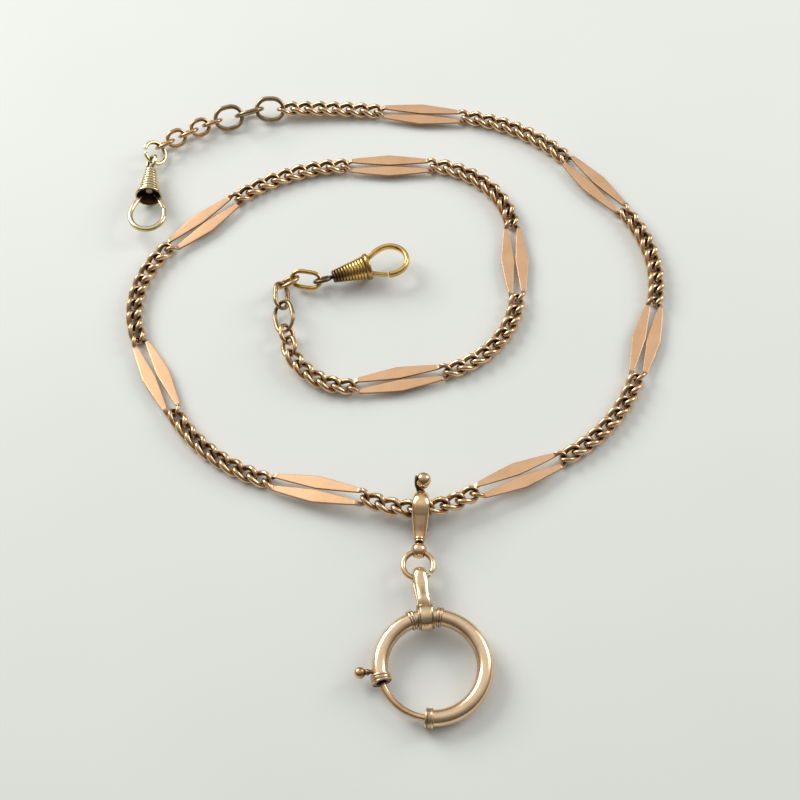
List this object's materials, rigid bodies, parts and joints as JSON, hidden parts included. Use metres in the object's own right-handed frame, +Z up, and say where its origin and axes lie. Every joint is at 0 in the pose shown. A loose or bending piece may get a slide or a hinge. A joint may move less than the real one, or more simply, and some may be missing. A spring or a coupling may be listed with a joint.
{
  "type": "pocket watch chain",
  "caption": "Double-ended pocket watch chain of curb runs and long twin-plate links, with a dog clip at each end and a bolt ring hung from the middle on a clip, swivel and shackle.",
  "frame": {"origin": "centre of the bounding box in X and Y, on the table plane the chain lies on (Z = 0)", "axes": "+Z up from the table; +Y runs from the bolt ring drop towards the far side of the coil; +X to the right as seen from above with the drop nearest"},
  "size_m": [0.1043, 0.136, 0.0067],
  "materials": {
    "rose": "polished rose gold",
    "satin": "satin rose gold",
    "dull": "tarnished gold",
    "pale": "pale polished gold",
    "yellow": "yellow gold, worn",
    "dark": "dark tarnished gold"
  },
  "bodies": {
    "curb_run_05": {"curb_run_05": "rose"},
    "fancy_link_04": {"fancy_link_04": "satin"},
    "curb_run_04": {"curb_run_04": "rose"},
    "fancy_link_03": {"fancy_link_03": "satin"},
    "curb_run_03": {"curb_run_03": "rose"},
    "fancy_link_02": {"fancy_link_02": "satin"},
    "curb_run_02": {"curb_run_02": "rose"},
    "fancy_link_01": {"fancy_link_01": "satin"},
    "curb_run_01": {"curb_run_01": "rose"},
    "outer_oval_1": {"outer_oval_1": "dull"},
    "outer_oval_2": {"outer_oval_2": "dull"},
    "outer_oval_3": {"outer_oval_3": "dull"},
    "outer_small_1": {"outer_small_1": "rose"},
    "outer_small_2": {"outer_small_2": "rose"},
    "outer_small_3": {"outer_small_3": "rose"},
    "outer_small_4": {"outer_small_4": "rose"},
    "outer_small_5": {"outer_small_5": "rose"},
    "jump_ring": {"jump_ring": "pale"},
    "clip_A_eye": {"clip_A_eye": "pale"},
    "clip_A_barrel": {"clip_A_barrel": "pale", "clip_A_bow": "pale"},
    "clip_A_gate": {"clip_A_gate": "pale"},
    "fancy_link_05": {"fancy_link_05": "satin"},
    "curb_run_06": {"curb_run_06": "rose"},
    "fancy_link_06": {"fancy_link_06": "satin"},
    "curb_run_07": {"curb_run_07": "rose"},
    "fancy_link_07": {"fancy_link_07": "satin"},
    "curb_run_08": {"curb_run_08": "rose"},
    "fancy_link_08": {"fancy_link_08": "satin"},
    "curb_run_09": {"curb_run_09": "rose"},
    "fancy_link_09": {"fancy_link_09": "satin"},
    "curb_run_10": {"curb_run_10": "rose"},
    "fancy_link_10": {"fancy_link_10": "satin"},
    "curb_run_11": {"curb_run_11": "rose"},
    "inner_small_1": {"inner_small_1": "rose"},
    "inner_small_2": {"inner_small_2": "rose"},
    "inner_large": {"inner_large": "dull"},
    "inner_oval_1": {"inner_oval_1": "dull"},
    "inner_round": {"inner_round": "rose"},
    "inner_oval_2": {"inner_oval_2": "yellow"},
    "clip_B_eye": {"clip_B_eye": "dark"},
    "clip_B_barrel": {"clip_B_barrel": "yellow", "clip_B_bow": "yellow"},
    "clip_B_gate": {"clip_B_gate": "yellow"},
    "drop_clip_body": {"drop_clip_body": "rose", "drop_clip_pin": "dark"},
    "drop_clip_lever": {"drop_clip_lever": "dark", "drop_clip_ball": "rose"},
    "swivel_bead": {"swivel_bead": "rose"},
    "drop_ring": {"drop_ring": "rose"},
    "shackle": {"shackle": "pale"},
    "bolt_ring_tube": {"bolt_ring_tube": "satin", "bolt_ring_collar_left": "rose", "bolt_ring_collar_low": "rose", "bolt_ring_flange_left": "rose", "bolt_ring_flange_right": "rose"},
    "bolt": {"bolt": "rose", "bolt_knob": "rose"}
  },
  "joints": [
    {"name": "fancy_link_04_bend", "type": "hinge", "parent": "curb_run_05", "child": "fancy_link_04", "pos_m": [0.01453, -0.0252, 0.00274], "axis": [0, 0, 1], "range_deg": [-12, 12]},
    {"name": "curb_run_04_bend", "type": "hinge", "parent": "fancy_link_04", "child": "curb_run_04", "pos_m": [0.03074, -0.0173, 0.00117], "axis": [0, 0, -1], "range_deg": [-12, 12]},
    {"name": "fancy_link_03_bend", "type": "hinge", "parent": "curb_run_04", "child": "fancy_link_03", "pos_m": [0.04526, 0.00002, 0.00117], "axis": [0, 0, 1], "range_deg": [-12, 10]},
    {"name": "curb_run_03_bend", "type": "hinge", "parent": "fancy_link_03", "child": "curb_run_03", "pos_m": [0.05025, 0.01741, 0.00117], "axis": [0, 0, -1], "range_deg": [-9, 12]},
    {"name": "fancy_link_02_bend", "type": "hinge", "parent": "curb_run_03", "child": "fancy_link_02", "pos_m": [0.04597, 0.03947, 0.00117], "axis": [0, 0, 1], "range_deg": [-12, 6]},
    {"name": "curb_run_02_bend", "type": "hinge", "parent": "fancy_link_02", "child": "curb_run_02", "pos_m": [0.03482, 0.05373, 0.00117], "axis": [0, 0, -1], "range_deg": [-6, 12]},
    {"name": "fancy_link_01_bend", "type": "hinge", "parent": "curb_run_02", "child": "fancy_link_01", "pos_m": [0.01494, 0.06453, 0.00117], "axis": [0, 0, 1], "range_deg": [-12, 6]},
    {"name": "curb_run_01_bend", "type": "hinge", "parent": "fancy_link_01", "child": "curb_run_01", "pos_m": [-0.00309, 0.06611, 0.00117], "axis": [0, 0, -1], "range_deg": [-8, 12]},
    {"name": "outer_oval_1_bend", "type": "hinge", "parent": "curb_run_01", "child": "outer_oval_1", "pos_m": [-0.02321, 0.06593, 0.00208], "axis": [0, 0, 1], "range_deg": [-16, 12]},
    {"name": "outer_oval_2_bend", "type": "hinge", "parent": "outer_oval_1", "child": "outer_oval_2", "pos_m": [-0.02756, 0.06547, 0.00254], "axis": [0, 0, -1], "range_deg": [-14, 16]},
    {"name": "outer_oval_3_bend", "type": "hinge", "parent": "outer_oval_2", "child": "outer_oval_3", "pos_m": [-0.03169, 0.06397, 0.00239], "axis": [0, 0, 1], "range_deg": [-16, 16]},
    {"name": "outer_small_1_bend", "type": "hinge", "parent": "outer_oval_3", "child": "outer_small_1", "pos_m": [-0.03592, 0.06276, 0.00216], "axis": [0, 0, -1], "range_deg": [-16, 16]},
    {"name": "outer_small_2_bend", "type": "hinge", "parent": "outer_small_1", "child": "outer_small_2", "pos_m": [-0.03839, 0.06155, 0.00216], "axis": [0, 0, 1], "range_deg": [-16, 16]},
    {"name": "outer_small_3_bend", "type": "hinge", "parent": "outer_small_2", "child": "outer_small_3", "pos_m": [-0.04072, 0.0601, 0.00216], "axis": [0, 0, -1], "range_deg": [-16, 16]},
    {"name": "outer_small_4_bend", "type": "hinge", "parent": "outer_small_3", "child": "outer_small_4", "pos_m": [-0.04305, 0.05864, 0.00216], "axis": [0, 0, 1], "range_deg": [-16, 16]},
    {"name": "outer_small_5_bend", "type": "hinge", "parent": "outer_small_4", "child": "outer_small_5", "pos_m": [-0.04533, 0.0571, 0.00216], "axis": [0, 0, -1], "range_deg": [-16, 16]},
    {"name": "jump_ring_bend", "type": "hinge", "parent": "outer_small_5", "child": "jump_ring", "pos_m": [-0.04756, 0.05549, 0.00216], "axis": [0, 0, 1], "range_deg": [-16, 16]},
    {"name": "clip_A_eye_bend", "type": "hinge", "parent": "jump_ring", "child": "clip_A_eye", "pos_m": [-0.04876, 0.05217, 0.00228], "axis": [0, 0, -1], "range_deg": [-16, 16]},
    {"name": "clip_A_barrel_swivel", "type": "hinge", "parent": "clip_A_eye", "child": "clip_A_barrel", "pos_m": [-0.04866, 0.04917, 0.00244], "axis": [0.0349, -0.998, 0.0523], "continuous": true},
    {"name": "clip_A_gate_open", "type": "hinge", "parent": "clip_A_barrel", "child": "clip_A_gate", "pos_m": [-0.04726, 0.04252, 0.00279], "axis": [0.0018, -0.0523, -0.9986], "range_deg": [0, 25], "stiffness_Nm_per_rad": 0.02},
    {"name": "fancy_link_05_bend", "type": "hinge", "parent": "curb_run_05", "child": "fancy_link_05", "pos_m": [-0.00466, -0.02621, 0.00274], "axis": [0, 0, 1], "range_deg": [-12, 12]},
    {"name": "curb_run_06_bend", "type": "hinge", "parent": "fancy_link_05", "child": "curb_run_06", "pos_m": [-0.02215, -0.02185, 0.00117], "axis": [0, 0, -1], "range_deg": [-12, 12]},
    {"name": "fancy_link_06_bend", "type": "hinge", "parent": "curb_run_06", "child": "fancy_link_06", "pos_m": [-0.03968, -0.00765, 0.00117], "axis": [0, 0, 1], "range_deg": [-12, 12]},
    {"name": "curb_run_07_bend", "type": "hinge", "parent": "fancy_link_06", "child": "curb_run_07", "pos_m": [-0.04762, 0.00862, 0.00117], "axis": [0, 0, -1], "range_deg": [-11, 12]},
    {"name": "fancy_link_07_bend", "type": "hinge", "parent": "curb_run_07", "child": "fancy_link_07", "pos_m": [-0.0438, 0.03026, 0.00117], "axis": [0, 0, 1], "range_deg": [-12, 10]},
    {"name": "curb_run_08_bend", "type": "hinge", "parent": "fancy_link_07", "child": "curb_run_08", "pos_m": [-0.03078, 0.04284, 0.00117], "axis": [0, 0, -1], "range_deg": [-12, 12]},
    {"name": "fancy_link_08_bend", "type": "hinge", "parent": "curb_run_08", "child": "fancy_link_08", "pos_m": [-0.00975, 0.05133, 0.00117], "axis": [0, 0, 1], "range_deg": [-12, 12]},
    {"name": "curb_run_09_bend", "type": "hinge", "parent": "fancy_link_08", "child": "curb_run_09", "pos_m": [0.00835, 0.05133, 0.00117], "axis": [0, 0, -1], "range_deg": [-12, 12]},
    {"name": "fancy_link_09_bend", "type": "hinge", "parent": "curb_run_09", "child": "fancy_link_09", "pos_m": [0.02361, 0.03634, 0.00117], "axis": [0, 0, 1], "range_deg": [-12, 12]},
    {"name": "curb_run_10_bend", "type": "hinge", "parent": "fancy_link_09", "child": "curb_run_10", "pos_m": [0.02393, 0.01824, 0.00117], "axis": [0, 0, -1], "range_deg": [-12, 12]},
    {"name": "fancy_link_10_bend", "type": "hinge", "parent": "curb_run_10", "child": "fancy_link_10", "pos_m": [0.01026, 0.00136, 0.00117], "axis": [0, 0, 1], "range_deg": [-12, 12]},
    {"name": "curb_run_11_bend", "type": "hinge", "parent": "fancy_link_10", "child": "curb_run_11", "pos_m": [-0.00751, -0.00209, 0.00117], "axis": [0, 0, -1], "range_deg": [-12, 12]},
    {"name": "inner_small_1_bend", "type": "hinge", "parent": "curb_run_11", "child": "inner_small_1", "pos_m": [-0.01886, 0.005, 0.00206], "axis": [0, 0, 1], "range_deg": [-16, 16]},
    {"name": "inner_small_2_bend", "type": "hinge", "parent": "inner_small_1", "child": "inner_small_2", "pos_m": [-0.01957, 0.00766, 0.00216], "axis": [0, 0, -1], "range_deg": [-16, 16]},
    {"name": "inner_large_bend", "type": "hinge", "parent": "inner_small_2", "child": "inner_large", "pos_m": [-0.01981, 0.0104, 0.0023], "axis": [0, 0, 1], "range_deg": [-16, 16]},
    {"name": "inner_oval_1_bend", "type": "hinge", "parent": "inner_large", "child": "inner_oval_1", "pos_m": [-0.0211, 0.01556, 0.0024], "axis": [0, 0, -1], "range_deg": [-16, 16]},
    {"name": "inner_round_bend", "type": "hinge", "parent": "inner_oval_1", "child": "inner_round", "pos_m": [-0.0211, 0.02011, 0.0024], "axis": [0, 0, 1], "range_deg": [-16, 16]},
    {"name": "inner_oval_2_bend", "type": "hinge", "parent": "inner_round", "child": "inner_oval_2", "pos_m": [-0.01877, 0.02207, 0.0024], "axis": [0, 0, -1], "range_deg": [-16, 16]},
    {"name": "clip_B_eye_bend", "type": "hinge", "parent": "inner_oval_2", "child": "clip_B_eye", "pos_m": [-0.01428, 0.02128, 0.0024], "axis": [0, 0, 1], "range_deg": [-16, 16]},
    {"name": "clip_B_barrel_swivel", "type": "hinge", "parent": "clip_B_eye", "child": "clip_B_barrel", "pos_m": [-0.01142, 0.02221, 0.00256], "axis": [0.9498, 0.3086, 0.0523], "continuous": true},
    {"name": "clip_B_gate_open", "type": "hinge", "parent": "clip_B_barrel", "child": "clip_B_gate", "pos_m": [-0.0047, 0.02317, 0.00291], "axis": [-0.0498, -0.0162, 0.9986], "range_deg": [0, 25], "stiffness_Nm_per_rad": 0.02},
    {"name": "drop_clip_swing", "type": "hinge", "parent": "curb_run_05", "child": "drop_clip_body", "pos_m": [0.00507, -0.0283, 0.00274], "axis": [0.999, -0.0436, 0], "range_deg": [-80, 20]},
    {"name": "drop_clip_lever_open", "type": "hinge", "parent": "drop_clip_body", "child": "drop_clip_lever", "pos_m": [0.00492, -0.0318, 0.00164], "axis": [0.999, -0.0436, 0], "range_deg": [-25, 0], "stiffness_Nm_per_rad": 0.02},
    {"name": "swivel_bead_turn", "type": "hinge", "parent": "drop_clip_body", "child": "swivel_bead", "pos_m": [0.00471, -0.0365, 0.00274], "axis": [0.0436, 0.999, 0], "continuous": true},
    {"name": "drop_ring_tip", "type": "hinge", "parent": "swivel_bead", "child": "drop_ring", "pos_m": [0.0047, -0.03692, 0.00274], "axis": [0.9981, -0.061, 0], "range_deg": [-25, 25]},
    {"name": "shackle_tip", "type": "hinge", "parent": "drop_ring", "child": "shackle", "pos_m": [0.00486, -0.04185, 0.00283], "axis": [-0.9925, -0.1219, 0], "range_deg": [-25, 25]},
    {"name": "bolt_ring_swing", "type": "hinge", "parent": "shackle", "child": "bolt_ring_tube", "pos_m": [0.00574, -0.049, 0.00295], "axis": [-0.9925, -0.1216, -0.0085], "range_deg": [-15, 60]},
    {"name": "bolt_draw", "type": "hinge", "parent": "bolt_ring_tube", "child": "bolt", "pos_m": [0.0068, -0.05761, 0.00235], "axis": [0, -0.0698, 0.9976], "range_deg": [-55, 0], "stiffness_Nm_per_rad": 0.02}
  ]
}
